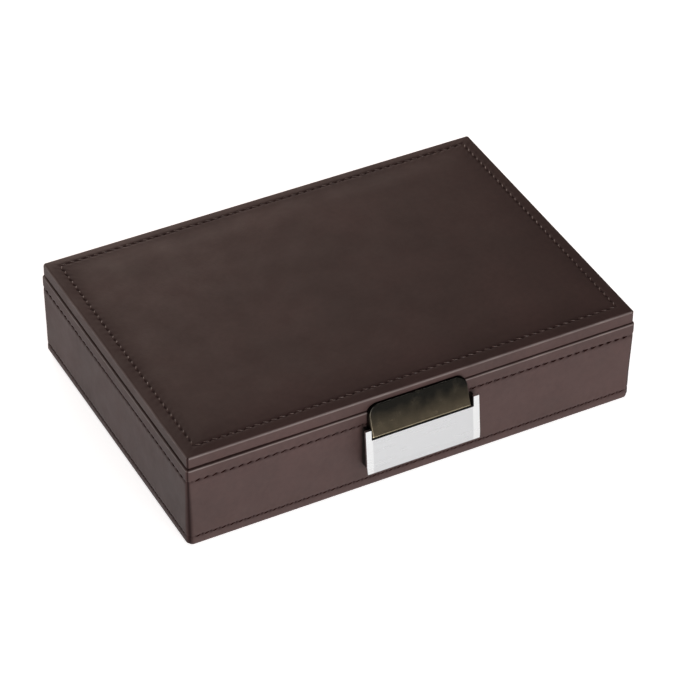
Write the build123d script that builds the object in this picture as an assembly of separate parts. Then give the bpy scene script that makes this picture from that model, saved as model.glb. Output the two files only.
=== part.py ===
from build123d import *
import os

# A flat leather-covered cufflink box: a board tray with a grid of compartments, and a padded lid
# that turns on two stop hinges at the rear and snaps shut with a metal clasp at the front.
# Frame: millimetres, origin at the centre of the underside, +X along the front, +Y to the hinges.

# Tray: boards wrapped in leather, which turns over the rim and under the bottom edge
tray_width = 180.0
tray_depth = 124.0
rim_height = 35.6
wrap_thickness = 1.0
wrap_ground_gap = 0.3
wall_thickness = 6.0
board_chamfer = 1.1
tray_corner_radius = 2.6
tray_foot_radius = 2.5
rim_edge_radius = 0.8
lip_drop = 6.0
mitre_reach = 12.0
base_thickness = 3.0
underside_pad_gap = 0.3

# Lining of the tray, in suede-covered card
lining_thickness = 1.5
lining_gap = 0.2
floor_pad_thickness = 2.0
soft_edge_chamfer = 0.4

# Divider grid, half-lapped where the strips cross
column_count = 5
row_count = 4
divider_thickness = 2.0
divider_height = 21.7
divider_edge_chamfer = 0.5
lap_clearance = 0.1
divider_end_gap = 0.1

# Lid: a board and a thin foam under leather, which turns under the edge
seam_gap = 0.8
lid_inset = 0.6
lid_side_height = 4.6
lid_crown = 1.2
lid_border = 4.8
lid_edge_radius = 0.9
lid_crown_radius = 12.0
lid_turn_in = 8.0
lid_board_thickness = 2.4
window_gap = 0.4
lining_card_thickness = 1.0
lid_pad_thickness = 2.4
lid_pad_gap = 1.0
lid_pad_corner_radius = 3.0
lid_pad_chamfer = 0.8

# Stop hinges
hinge_end_margin = 27.0
hinge_length = 22.0
leaf_thickness = 1.0
leaf_reach = 6.6
barrel_radius = 1.5
barrel_standoff = 0.3
axis_drop = 0.2
knuckle_count = 3
knuckle_gap = 0.15
knuckle_clearance = 0.15
pin_radius = 0.75
pin_clearance = 0.05
pin_overhang = 0.4
flap_drop = 3.2
heel_reach = 2.5
heel_thickness = 0.9
heel_drop = 0.25
pocket_clearance = 0.2

# Countersunk screws of the hinges and the clasp
screw_head_radius = 1.4
screw_head_height = 0.6
screw_radius = 0.7
screw_clearance = 0.03
hinge_screw_spacing = 12.0
hinge_screw_setback = 3.6
wall_screw_length = 6.0
lid_screw_length = 3.0

# Clasp: a cast hood on the lid and a pressed keeper on the tray
hood_width = 39.6
hood_offset = -0.5
hood_lid_cover = 2.2
hood_drop = 9.1
hood_top_proud = 0.4
hood_bottom_proud = 4.8
hood_wall = 1.0
hood_corner_radius = 4.0
hood_foot_thickness = 1.2
hood_foot_reach = 7.0
hood_foot_inset = 2.0
hood_edge_radius = 0.6
hood_lid_gap = 0.1
hood_tray_gap = 0.4
hood_screw_spacing = 26.0
hood_screw_setback = 3.6
keeper_width = 45.5
keeper_height = 18.5
keeper_rim_drop = 5.1
keeper_sheet = 1.0
keeper_bottom_proud = 6.1
keeper_top_proud = 4.05
keeper_bend_width = 2.7
keeper_bend_depth = 0.35
slit_height = 1.0
slit_width = 0.7
tongue_hood_gap = 0.3
tongue_thickness = 1.0
tongue_rise = 5.0
stud_radius = 1.0
stud_clearance = 0.1
stud_spacing = 28.0
stud_rise = 7.0
push_nut_radius = 3.2
push_nut_thickness = 0.6
push_nut_recess = 0.8

# Amount by which cutting tools run past what they cut, and how near a level an edge counts as on it
overrun = 2.0
flat_share = 0.1

half_width = tray_width / 2
half_depth = tray_depth / 2
wall_inset = wrap_thickness + wall_thickness
lip_inset = wall_inset + wrap_thickness
lining_inset = wall_inset + lining_thickness
tray_bottom = wrap_ground_gap + wrap_thickness
base_top = tray_bottom + base_thickness
floor_top = base_top + floor_pad_thickness
lining_top = rim_height - lip_drop - lining_gap
lid_bottom = rim_height + seam_gap
lid_edge_top = lid_bottom + lid_side_height
lid_half_width = half_width - lid_inset
lid_half_depth = half_depth - lid_inset
lid_board_bottom = lid_bottom + wrap_thickness
lid_board_top = lid_board_bottom + lid_board_thickness
axis_y = half_depth + barrel_standoff + barrel_radius
axis_z = rim_height - axis_drop
lid_leaf_top = lid_bottom + leaf_thickness
hood_top = lid_bottom + hood_lid_cover
hood_bottom = lid_bottom - hood_drop
hood_slope = (hood_bottom_proud - hood_top_proud) / (hood_top - hood_bottom)
notch_bottom = hood_bottom - slit_height
notch_half_width = hood_width / 2 + slit_width
keeper_top = rim_height - keeper_rim_drop
keeper_bottom = keeper_top - keeper_height
stud_height = keeper_bottom + stud_rise


def block(x_low, x_high, y_low, y_high, z_low, z_high):
    """A box between two corners."""
    low = Align.MIN
    size = (x_high - x_low, y_high - y_low, z_high - z_low)
    return Pos(x_low, y_low, z_low) * Box(*size, align=(low, low, low))


def centred_block(half_x, half_y, z_low, z_high):
    """A box centred on the Z axis."""
    return block(-half_x, half_x, -half_y, half_y, z_low, z_high)


def rod(radius, x_low, x_high, y, z):
    """A cylinder along X."""
    turned = Pos(x_low, y, z) * Rot(0, 90, 0)
    return turned * Cylinder(radius, x_high - x_low, align=(Align.CENTER, Align.CENTER, Align.MIN))


def extrude_along_x(points, half_length):
    """A profile of (y, z) points, extruded both ways along X."""
    return extrude(Plane.YZ * make_face(Polyline(*points, close=True)), half_length, both=True)


def tray_form():
    """The tray's outer form, with the leather's rounded corners, foot and rim."""
    outline = RectangleRounded(tray_width, tray_depth, tray_corner_radius)
    form = Pos(0, 0, wrap_ground_gap) * extrude(outline, rim_height - wrap_ground_gap)
    form = fillet(form.edges().group_by(Axis.Z)[0], tray_foot_radius)
    return fillet(form.edges().group_by(Axis.Z)[-1], rim_edge_radius)


def inner_prism(inset, z_low, z_high):
    """The space inside the tray walls at a distance from the outer faces."""
    return centred_block(half_width - inset, half_depth - inset, z_low, z_high)


def wall_ring():
    """All four wall boards together, inside the leather, their outer edges broken by a chamfer."""
    half_x = half_width - wrap_thickness
    half_y = half_depth - wrap_thickness
    core = centred_block(half_x, half_y, tray_bottom, rim_height - wrap_thickness)
    core = chamfer(core.edges().filter_by(Axis.Z) + core.edges().group_by(Axis.Z)[0], board_chamfer)
    return core - inner_prism(wall_inset, 0, rim_height)


def wall_boards():
    """The front and rear boards run the full width, and the side boards stand between them."""
    ring = wall_ring()
    inner_y = half_depth - wall_inset
    inner_x = half_width - wall_inset
    long_cut = (-half_width, half_width)
    front = ring & block(*long_cut, -half_depth, -inner_y, 0, rim_height)
    rear = ring & block(*long_cut, inner_y, half_depth, 0, rim_height)
    left = ring & block(-half_width, -inner_x, -inner_y, inner_y, 0, rim_height)
    right = ring & block(inner_x, half_width, -inner_y, inner_y, 0, rim_height)
    front = front - keeper_studs(stud_radius + stud_clearance) - push_nut_recesses()
    rear = rear - tray_leaf_pockets() - screw_bores(tray_screw_places())
    return {"front_wall_board": front, "rear_wall_board": rear, "left_wall_board": left, "right_wall_board": right}


def wrap_ring():
    """The leather round the walls: outside, over the rim, down inside as a lip, and under the foot."""
    lip_bottom = rim_height - lip_drop
    whole = tray_form() - wall_ring() - inner_prism(lip_inset, 0, rim_height + overrun)
    return whole - inner_prism(wall_inset, 0, lip_bottom)


def mitre_wedge(outer_half_x, outer_half_y, reach):
    """The front wall's share of the ring, cut at 45 degrees at both corners."""
    points = [
        (-outer_half_x - overrun, -outer_half_y - overrun),
        (outer_half_x + overrun, -outer_half_y - overrun),
        (outer_half_x - reach, -outer_half_y + reach),
        (-outer_half_x + reach, -outer_half_y + reach),
    ]
    return extrude(make_face(Polyline(*points, close=True)), rim_height + overrun)


def leather_panels():
    """The four leather panels, which meet at the vertical corners."""
    ring = wrap_ring()
    long_wedge = mitre_wedge(half_width, half_depth, mitre_reach)
    short_wedge = mitre_wedge(half_depth, half_width, mitre_reach)
    front = (ring & long_wedge) - keeper_studs(stud_radius + stud_clearance)
    rear = (ring & Rot(0, 0, 180) * long_wedge) - tray_leaf_pockets()
    right = ring & Rot(0, 0, 90) * short_wedge
    left = ring & Rot(0, 0, -90) * short_wedge
    return {"front_leather": front, "rear_leather": rear, "left_leather": left, "right_leather": right}


def base_board():
    """The bottom board, glued between the walls."""
    return inner_prism(wall_inset, tray_bottom, base_top)


def underside_pad():
    """The felt that the box stands on, let in between the turned leather."""
    return inner_prism(wall_inset + underside_pad_gap, 0, tray_bottom)


def floor_pad():
    """The soft floor inside the wall linings."""
    pad = inner_prism(lining_inset, base_top, floor_top)
    return chamfer(pad.edges().group_by(Axis.Z)[-1], soft_edge_chamfer)


def wall_linings():
    """The front and rear linings run the full width, and the side ones stand between them."""
    outer_x = half_width - wall_inset
    outer_y = half_depth - wall_inset
    inner_x = half_width - lining_inset
    inner_y = half_depth - lining_inset
    span = (base_top, lining_top)
    cards = {
        "front_lining": block(-outer_x, outer_x, -outer_y, -inner_y, *span),
        "rear_lining": block(-outer_x, outer_x, inner_y, outer_y, *span),
        "left_lining": block(-outer_x, -inner_x, -inner_y, inner_y, *span),
        "right_lining": block(inner_x, outer_x, -inner_y, inner_y, *span),
    }
    return {name: chamfer(card.edges().group_by(Axis.Z)[-1], soft_edge_chamfer) for name, card in cards.items()}


def divider_places(inner_length, count):
    """Centres of the strips that part a length into equal compartments."""
    room = (inner_length - (count - 1) * divider_thickness) / count
    pitch = room + divider_thickness
    return [-inner_length / 2 + number * pitch - divider_thickness / 2 for number in range(1, count)]


def divider_strip(half_length, crossings, slots_from_top):
    """A strip along X, with a narrowed top edge and a half-lap slot at each crossing."""
    half = divider_thickness / 2
    top = floor_top + divider_height
    middle = floor_top + divider_height / 2
    strip = block(-half_length, half_length, -half, half, floor_top, top)
    long_edges = strip.edges().filter_by(Axis.X).group_by(Axis.Z)[-1]
    strip = chamfer(long_edges, divider_edge_chamfer)
    reach = half + lap_clearance
    for x in crossings:
        low, high = (middle, top + overrun) if slots_from_top else (floor_top - overrun, middle)
        strip -= block(x - reach, x + reach, -divider_thickness, divider_thickness, low, high)
    return strip


def dividers():
    """Row dividers run along the box, column dividers across it."""
    inner_x = half_width - lining_inset
    inner_y = half_depth - lining_inset
    columns = divider_places(2 * inner_x, column_count)
    rows = divider_places(2 * inner_y, row_count)
    made = {}
    row_strip = divider_strip(inner_x - divider_end_gap, columns, slots_from_top=True)
    column_strip = divider_strip(inner_y - divider_end_gap, rows, slots_from_top=False)
    for number, y in enumerate(rows, start=1):
        made[f"row_divider_{number}"] = Pos(0, y, 0) * row_strip
    for number, x in enumerate(columns, start=1):
        made[f"column_divider_{number}"] = Pos(x, 0, 0) * Rot(0, 0, 90) * column_strip
    return made


def lid_core(inset):
    """The lid's form with sharp edges, taken in by a distance: a slab under a border that rises to the crown."""
    width = 2 * (lid_half_width - inset)
    depth = 2 * (lid_half_depth - inset)
    edge = lid_edge_top - inset
    foot_outline = Pos(0, 0, edge) * Rectangle(width, depth)
    crown_outline = Pos(0, 0, edge + lid_crown) * Rectangle(width - 2 * lid_border, depth - 2 * lid_border)
    slab = centred_block(width / 2, depth / 2, lid_bottom + inset, edge)
    return slab + loft([foot_outline, crown_outline])


def lid_form():
    """The lid's outer form, with the leather's rounded edges."""
    form = lid_core(0)
    border_foot = form.edges().filter_by(lambda line: abs(line.center().Z - lid_edge_top) < lid_crown * flat_share)
    form = fillet(border_foot + form.edges().filter_by(Axis.Z), lid_edge_radius)
    return fillet(form.edges().group_by(Axis.Z)[-1], lid_crown_radius)


def lid_leather():
    """The leather over the lid, turned under the edge, with pockets for the hinge leaves and the hood."""
    window_x = lid_half_width - lid_turn_in
    window_y = lid_half_depth - lid_turn_in
    skin = lid_form() - lid_core(wrap_thickness)
    skin -= centred_block(window_x, window_y, lid_bottom - overrun, lid_board_bottom)
    return skin - lid_leaf_pockets() - hood_pocket()


def lid_board():
    """The stiff board inside the lid."""
    board = lid_core(wrap_thickness) & centred_block(half_width, half_depth, lid_board_bottom, lid_board_top)
    board = board - lid_leaf_pockets() - hood_pocket()
    return board - screw_bores(lid_screw_places()) - screw_bores(hood_screw_places())


def lid_foam():
    """The thin foam between the lid board and the crowned leather."""
    above = lid_board_top + lid_side_height + lid_crown
    return lid_core(wrap_thickness) & centred_block(half_width, half_depth, lid_board_top, above)


def lid_lining_card():
    """The card that closes the window of the turned leather, under the lid board."""
    inset = lid_turn_in + window_gap
    low = lid_board_bottom - lining_card_thickness
    return centred_block(lid_half_width - inset, lid_half_depth - inset, low, lid_board_bottom)


def lid_lining_pad():
    """The suede pad under the lid, which drops just inside the tray's rim."""
    half_x = half_width - lip_inset - lid_pad_gap
    half_y = half_depth - lip_inset - lid_pad_gap
    high = lid_board_bottom - lining_card_thickness
    outline = RectangleRounded(2 * half_x, 2 * half_y, lid_pad_corner_radius)
    pad = Pos(0, 0, high - lid_pad_thickness) * extrude(outline, lid_pad_thickness)
    return chamfer(pad.edges().group_by(Axis.Z)[0], lid_pad_chamfer)


def screw(length):
    """A countersunk screw, head up, its face at the origin."""
    points = [
        (0, 0),
        (screw_head_radius, 0),
        (screw_radius, -screw_head_height),
        (screw_radius, -length),
        (0, -length),
    ]
    return revolve(Plane.XZ * make_face(Polyline(*points, close=True)), Axis.Z)


def screw_seat(length):
    """The countersunk hole for a screw, head up, running just past its tip."""
    head = screw_head_radius + screw_clearance
    shank = screw_radius + screw_clearance
    points = [
        (0, overrun),
        (head, overrun),
        (head, 0),
        (shank, -screw_head_height),
        (shank, -length - screw_clearance),
        (0, -length - screw_clearance),
    ]
    return revolve(Plane.XZ * make_face(Polyline(*points, close=True)), Axis.Z)


def hinge_centres():
    """X of the left and the right hinge."""
    centre = half_width - hinge_end_margin - hinge_length / 2
    return {"left_hinge": -centre, "right_hinge": centre}


def tray_screw_places():
    """Screws down through the tray leaves."""
    y = half_depth - hinge_screw_setback
    sides = (-hinge_screw_spacing / 2, hinge_screw_spacing / 2)
    return [(Pos(x + side, y, rim_height), wall_screw_length) for x in hinge_centres().values() for side in sides]


def lid_screw_places():
    """Screws up through the lid leaves."""
    y = half_depth - hinge_screw_setback
    sides = (-hinge_screw_spacing / 2, hinge_screw_spacing / 2)
    centres = hinge_centres().values()
    return [(Pos(x + side, y, lid_bottom) * Rot(180, 0, 0), lid_screw_length) for x in centres for side in sides]


def hood_screw_places():
    """Screws up through the foot of the hood."""
    y = -half_depth + hood_screw_setback
    sides = (hood_offset - hood_screw_spacing / 2, hood_offset + hood_screw_spacing / 2)
    return [(Pos(side, y, lid_bottom) * Rot(180, 0, 0), lid_screw_length) for side in sides]


def screws(places):
    """One screw at each place."""
    return [place * screw(length) for place, length in places]


def screw_bores(places):
    """One countersunk hole at each place."""
    return [place * screw_seat(length) for place, length in places]


def knuckle_spans(first):
    """The X spans of one leaf's knuckles, every second one of the barrel."""
    pitch = hinge_length / knuckle_count
    start = -hinge_length / 2
    return [(start + number * pitch, start + (number + 1) * pitch) for number in range(first, knuckle_count, 2)]


def knuckles(spans):
    """The barrel pieces of one leaf."""
    half_gap = knuckle_gap / 2
    return [rod(barrel_radius, low + half_gap, high - half_gap, axis_y, axis_z) for low, high in spans]


def knuckle_windows(spans, z_low, z_high):
    """Notches in one leaf, as wide as the other leaf's knuckles with their gaps."""
    half_gap = knuckle_gap / 2
    reach = axis_y + barrel_radius + knuckle_clearance
    return [block(low - half_gap, high + half_gap, half_depth, reach, z_low, z_high) for low, high in spans]


def heels(spans):
    """The bars that stand out behind one leaf's knuckles."""
    half_gap = knuckle_gap / 2
    low_z = axis_z - heel_drop
    rear = axis_y + heel_reach
    return [block(low + half_gap, high - half_gap, axis_y, rear, low_z, low_z + heel_thickness) for low, high in spans]


def tray_leaf():
    """The lower leaf: a plate on the rim and a flap down the rear face, whose foot is the stop."""
    half = hinge_length / 2
    foot = rim_height - flap_drop
    window_bottom = axis_z - barrel_radius - knuckle_clearance
    plate = block(-half, half, half_depth - leaf_reach, axis_y, rim_height - leaf_thickness, rim_height)
    flap = block(-half, half, half_depth, half_depth + leaf_thickness, foot, rim_height)
    leaf = (plate + flap) - knuckle_windows(knuckle_spans(1), window_bottom, rim_height)
    leaf = leaf + knuckles(knuckle_spans(0))
    return leaf - rod(pin_radius, -half, half, axis_y, axis_z)


def lid_leaf():
    """The upper leaf, with a heel on its knuckle that meets the flap when the lid stands open."""
    half = hinge_length / 2
    plate = block(-half, half, half_depth - leaf_reach, axis_y, lid_bottom, lid_leaf_top)
    windows = knuckle_windows(knuckle_spans(0), axis_z, lid_leaf_top)
    leaf = plate - windows + knuckles(knuckle_spans(1)) + heels(knuckle_spans(1))
    return leaf - rod(pin_radius + pin_clearance, -half, half, axis_y, axis_z)


def hinge_pin():
    """The pin, tight in the lower leaf's knuckles and a little longer than the barrel."""
    half = hinge_length / 2 + pin_overhang
    return rod(pin_radius, -half, half, axis_y, axis_z)


def tray_leaf_pockets():
    """Pockets in the rear wall's rim for the lower leaves."""
    half = hinge_length / 2 + pocket_clearance
    front = half_depth - leaf_reach - pocket_clearance
    low = rim_height - leaf_thickness
    reach = half_depth + overrun
    return [block(x - half, x + half, front, reach, low, rim_height + overrun) for x in hinge_centres().values()]


def lid_leaf_pockets():
    """Pockets in the lid's underside for the upper leaves."""
    half = hinge_length / 2 + pocket_clearance
    front = half_depth - leaf_reach - pocket_clearance
    reach = half_depth + overrun
    return [block(x - half, x + half, front, reach, lid_bottom - overrun, lid_leaf_top) for x in hinge_centres().values()]


def hinges():
    """Both hinges, leaf by leaf."""
    lower = tray_leaf()
    upper = lid_leaf()
    pin = hinge_pin()
    tray_seats = screw_bores(tray_screw_places())
    lid_seats = screw_bores(lid_screw_places())
    made = {}
    for name, x in hinge_centres().items():
        made[f"{name}_tray_leaf"] = Pos(x, 0, 0) * lower - tray_seats
        made[f"{name}_lid_leaf"] = Pos(x, 0, 0) * upper - lid_seats
        made[f"{name}_pin"] = Pos(x, 0, 0) * pin
    made["tray_hinge_screws"] = Compound(children=screws(tray_screw_places()))
    made["lid_hinge_screws"] = Compound(children=screws(lid_screw_places()))
    return made


def hood_front(z):
    """Y of the hood's outer face at a height: it moves out towards its foot."""
    return -half_depth - hood_top_proud - (hood_top - z) * hood_slope


def hood_inner(z):
    """Y of the inner face of the hood's front."""
    return hood_front(z) + hood_wall * (1 + hood_slope**2) ** 0.5


def hood_pocket():
    """The recess in the lid's underside for the foot of the hood."""
    half = hood_width / 2 - hood_foot_inset + pocket_clearance
    rear = -half_depth + hood_foot_reach + pocket_clearance
    pocket = block(-half, half, -half_depth - overrun, rear, lid_bottom - overrun, lid_bottom + hood_foot_thickness)
    return Pos(hood_offset, 0, 0) * pocket


def hood_outline():
    """The hood seen from the front, with its two upper corners rounded, as a prism through the clasp."""
    height = 2 * (hood_top - hood_bottom)
    outline = Pos(0, hood_top - height / 2) * RectangleRounded(hood_width, height, hood_corner_radius)
    return extrude(Plane.XZ * outline, tray_depth)


def clasp_hood():
    """The cast hood: a foot screwed under the lid, a front that slopes out and down, and two cheeks."""
    half = hood_width / 2
    lid_side = -lid_half_depth - hood_lid_gap
    cheek_rear = -half_depth - hood_tray_gap
    shell = [
        (lid_side, hood_top),
        (hood_front(hood_top), hood_top),
        (hood_front(hood_bottom), hood_bottom),
        (cheek_rear, hood_bottom),
        (cheek_rear, lid_bottom),
        (lid_side, lid_bottom),
    ]
    hollow = [
        (hood_inner(hood_bottom - overrun), hood_bottom - overrun),
        (hood_inner(lid_bottom), lid_bottom),
        (cheek_rear + overrun, lid_bottom),
        (cheek_rear + overrun, hood_bottom - overrun),
    ]
    hood = extrude_along_x(shell, half) & hood_outline()
    outer_face = hood.faces().sort_by(Axis.Y)[0]
    hood = fillet(outer_face.edges().sort_by(Axis.Z)[1:], hood_edge_radius)
    hood = hood - extrude_along_x(hollow, half - hood_wall)
    foot_half = half - hood_foot_inset
    foot_rear = -half_depth + hood_foot_reach
    foot_top = lid_bottom + hood_foot_thickness
    hood = hood + block(-foot_half, foot_half, lid_side, foot_rear, lid_bottom, foot_top)
    return Pos(hood_offset, 0, 0) * hood - screw_bores(hood_screw_places())


def keeper_front(z):
    """Y of the keeper's outer face at a height: it leans out towards its foot."""
    share = (z - keeper_bottom) / (keeper_top - keeper_bottom)
    return -half_depth - keeper_bottom_proud + share * (keeper_bottom_proud - keeper_top_proud)


def keeper_section(margin, low_rear, high_rear):
    """A section of the keeper or its block, taken in by a margin, with the Y of its rear at both ends."""
    low = keeper_bottom + margin
    high = keeper_top - margin
    return [(low_rear, low), (keeper_front(low) + margin, low), (keeper_front(high) + margin, high), (high_rear, high)]


def keeper_notch():
    """The space that the hood drops into."""
    return block(
        -notch_half_width, notch_half_width, -tray_depth, -half_depth, notch_bottom, keeper_top + overrun
    )


def keeper_studs(radius):
    """The two studs on the keeper's back, or with a larger radius the holes for them."""
    high = -half_depth + wall_inset
    low = keeper_front(stud_height) + keeper_sheet / 2
    turned = Rot(-90, 0, 0) * Cylinder(radius, high - low, align=(Align.CENTER, Align.CENTER, Align.MIN))
    sides = (-stud_spacing / 2, stud_spacing / 2)
    return [Pos(side, low, stud_height) * turned for side in sides]


def clasp_keeper():
    """The keeper: a slanted plate whose two ends fall away a little, with a notch and two studs."""
    low_rear = keeper_front(keeper_bottom) + keeper_sheet
    high_rear = keeper_front(keeper_top) + keeper_sheet
    plate = extrude_along_x(keeper_section(0, low_rear, high_rear), keeper_width / 2)
    outer_face = plate.faces().sort_by(Axis.Y)[0]
    ends = outer_face.edges().sort_by(Axis.Z)[1:3]
    plate = chamfer(ends, keeper_bend_depth, keeper_bend_width, reference=outer_face)
    return plate - keeper_notch() + keeper_studs(stud_radius)


def clasp_block():
    """The moulded block behind the keeper, with a spring tongue that stands up inside the hood."""
    section = keeper_section(keeper_sheet, -half_depth, -half_depth)
    solid = extrude_along_x(section, keeper_width / 2 - keeper_sheet)
    tongue_foot = notch_bottom - keeper_sheet
    tongue_top = notch_bottom + tongue_rise
    foot_y = keeper_front(tongue_foot) + 2 * keeper_sheet
    top_y = hood_inner(tongue_top) + tongue_hood_gap
    points = [
        (foot_y, tongue_foot),
        (top_y, tongue_top),
        (top_y + tongue_thickness, tongue_top),
        (foot_y + tongue_thickness, tongue_foot),
    ]
    tongue = extrude_along_x(points, hood_width / 2 - hood_wall - tongue_hood_gap - abs(hood_offset))
    return solid - keeper_notch() + tongue - keeper_studs(stud_radius + stud_clearance)


def push_nut_disc(radius, thickness):
    """A disc against the lining side of the front wall board, at each stud."""
    high = -half_depth + wall_inset
    turned = Rot(-90, 0, 0) * Cylinder(radius, thickness, align=(Align.CENTER, Align.CENTER, Align.MIN))
    sides = (-stud_spacing / 2, stud_spacing / 2)
    return [Pos(side, high - push_nut_recess, stud_height) * turned for side in sides]


def push_nut_recesses():
    """The counterbores that the push nuts lie in."""
    return push_nut_disc(push_nut_radius + pocket_clearance, push_nut_recess + overrun)


def push_nuts():
    """The push-on nuts that hold the keeper's studs, under the front lining."""
    discs = push_nut_disc(push_nut_radius, push_nut_thickness)
    return [disc - keeper_studs(stud_radius) for disc in discs]


def main():
    pieces = {
        **leather_panels(),
        **wall_boards(),
        "base_board": base_board(),
        "underside_pad": underside_pad(),
        "floor_pad": floor_pad(),
        **wall_linings(),
        **dividers(),
        "clasp_keeper": clasp_keeper(),
        "clasp_block": clasp_block(),
        "keeper_push_nuts": Compound(children=push_nuts()),
        **hinges(),
        "lid_leather": lid_leather(),
        "lid_board": lid_board(),
        "lid_foam": lid_foam(),
        "lid_lining_card": lid_lining_card(),
        "lid_lining_pad": lid_lining_pad(),
        "clasp_hood": clasp_hood(),
        "hood_screws": Compound(children=screws(hood_screw_places())),
    }
    os.makedirs("parts", exist_ok=True)
    for name, shape in pieces.items():
        export_step(shape, f"parts/{name}.step")


main()
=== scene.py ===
import math

import bmesh
import bpy
from mathutils import Matrix, Vector, noise


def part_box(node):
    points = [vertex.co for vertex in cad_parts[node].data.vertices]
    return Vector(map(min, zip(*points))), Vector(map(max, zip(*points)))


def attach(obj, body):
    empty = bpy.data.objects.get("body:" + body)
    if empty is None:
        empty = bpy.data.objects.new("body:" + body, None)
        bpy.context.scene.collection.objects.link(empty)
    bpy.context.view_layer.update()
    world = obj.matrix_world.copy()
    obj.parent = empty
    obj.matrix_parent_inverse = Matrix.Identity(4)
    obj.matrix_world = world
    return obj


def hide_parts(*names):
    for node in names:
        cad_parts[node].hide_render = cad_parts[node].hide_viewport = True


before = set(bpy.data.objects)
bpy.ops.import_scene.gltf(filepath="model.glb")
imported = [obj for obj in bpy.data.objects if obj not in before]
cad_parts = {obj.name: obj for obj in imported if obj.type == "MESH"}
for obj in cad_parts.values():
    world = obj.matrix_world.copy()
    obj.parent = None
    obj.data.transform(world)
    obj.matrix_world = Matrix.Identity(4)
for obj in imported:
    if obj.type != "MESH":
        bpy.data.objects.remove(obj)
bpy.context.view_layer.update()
scene = bpy.context.scene
scene.view_settings.view_transform = "Standard"

# Camera. It looks down on the front left corner of the box, from as far off as the perspective of the
# outline asks, with a long lens.
MM = 0.001
azimuth = math.radians(-27.959)
elevation = math.radians(38.959)
roll = math.radians(0.594)
camera_distance = 1196.693 * MM
aim_height = 20.0 * MM
pan_right = 0.65 * MM
pan_up = -2.05 * MM
focal_length_px = 3255.24
photo_width_px = 675
sensor_width = 36.0

backward = Vector(
    (math.sin(azimuth) * math.cos(elevation), -math.cos(azimuth) * math.cos(elevation), math.sin(elevation))
)
level_right = Vector((math.cos(azimuth), math.sin(azimuth), 0))
level_up = backward.cross(level_right)
camera_right = level_right * math.cos(roll) + level_up * math.sin(roll)
camera_up = level_up * math.cos(roll) - level_right * math.sin(roll)
aim = Vector((0, 0, aim_height)) + camera_right * pan_right + camera_up * pan_up
eye = aim + backward * camera_distance
facing = Matrix((camera_right, camera_up, backward)).transposed().to_4x4()
camera_data = bpy.data.cameras.new("camera")
camera_data.sensor_width = sensor_width
camera_data.lens = sensor_width * focal_length_px / photo_width_px
camera = bpy.data.objects.new("camera", camera_data)
camera.matrix_world = Matrix.Translation(eye) @ facing
scene.collection.objects.link(camera)
scene.camera = camera


# Floor and light. The box stands on a white lit table top, in a dim room. A low window behind it lies along
# the lid as a faint sheen, a soft box in front lights the front face, and a small lamp lights the edges.
def linear(hex_colour):
    """An sRGB hex colour as the linear RGBA that a shader socket takes."""
    channels = [int(hex_colour[place : place + 2], 16) / 255 for place in (1, 3, 5)]
    return [c / 12.92 if c <= 0.04045 else ((c + 0.055) / 1.055) ** 2.4 for c in channels] + [1.0]


def add_node(tree, kind, inputs=(), **settings):
    """Add one node, set its properties, and set or link its inputs by name or number."""
    made = tree.nodes.new(kind)
    for name, value in settings.items():
        setattr(made, name, value)
    for key, value in dict(inputs).items():
        if isinstance(value, bpy.types.NodeSocket):
            tree.links.new(value, made.inputs[key])
        else:
            made.inputs[key].default_value = value
    return made


def start_material(name, constants):
    """A new material, its tree, and its Principled shader with constants in its sockets."""
    material = bpy.data.materials.new(name)
    material.use_nodes = True
    shader = material.node_tree.nodes["Principled BSDF"]
    for socket, value in constants.items():
        shader.inputs[socket].default_value = value
    return material, material.node_tree, shader


floor_half = 6.0
bpy.ops.mesh.primitive_plane_add(size=2 * floor_half)
table = bpy.context.object
table.name = "table_top"
# White laminate: matt, and lit from inside, so it reads as plain white with only a faint shadow.
lit_white = {
    "Base Color": linear("#f4f4f5"),
    "Roughness": 0.7,
    "Emission Color": linear("#ffffff"),
    "Emission Strength": 0.78,
}
table.data.materials.append(start_material("white laminate", lit_white)[0])


def add_object(name, data):
    """A new object in the scene."""
    made = bpy.data.objects.new(name, data)
    scene.collection.objects.link(made)
    return made


def soft_box(name, direction, distance, size, power, tint="#ffffff"):
    """A square area light that faces the box from a direction."""
    data = bpy.data.lights.new(name, "AREA")
    data.size = size
    data.energy = power
    data.color = linear(tint)[:3]
    place = Vector(direction).normalized() * distance
    facing_box = place.to_track_quat("Z", "Y").to_matrix().to_4x4()
    add_object(name, data).matrix_world = Matrix.Translation(place) @ facing_box


soft_box("rear_window", direction=(0.02, 1.0, 0.33), distance=0.95, size=0.75, power=7.9, tint="#ffe8dd")
soft_box("front_soft_box", direction=(-0.08, -1.0, 0.2), distance=1.5, size=0.7, power=16.0)
soft_box("front_right_lamp", direction=(0.365, -0.64, 0.7), distance=1.6, size=0.18, power=2.0)
room_glow = 0.04
world = bpy.data.worlds.new("studio")
world.use_nodes = True
world.node_tree.nodes["Background"].inputs["Color"].default_value = linear("#ffffff")
world.node_tree.nodes["Background"].inputs["Strength"].default_value = room_glow
scene.world = world


# Carcase. Four wall boards and a base of raw fibreboard, glued up and wrapped, so that only their edges ever
# showed; the lid has one stiff board and a sheet of foam. The fibres give a fine pale fleck.
# The finest grains of all the materials, such as fibres, pile and brush lines, are drawn about half a
# millimetre coarse, which is coarser than real, so that they show.
noise_low = 0.3
noise_high = 0.7


def grain_noise(tree, size_mm, detail=3.0, stretch=(1, 1, 1)):
    """Noise with features of about size_mm on the object, mostly between noise_low and noise_high."""
    place = add_node(tree, "ShaderNodeTexCoord").outputs["Object"]
    place = add_node(tree, "ShaderNodeMapping", {"Vector": place, "Scale": stretch}).outputs["Vector"]
    scale = 1 / (size_mm * MM)
    inputs = {"Vector": place, "Scale": scale, "Detail": detail}
    return add_node(tree, "ShaderNodeTexNoise", inputs).outputs["Fac"]


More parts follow.
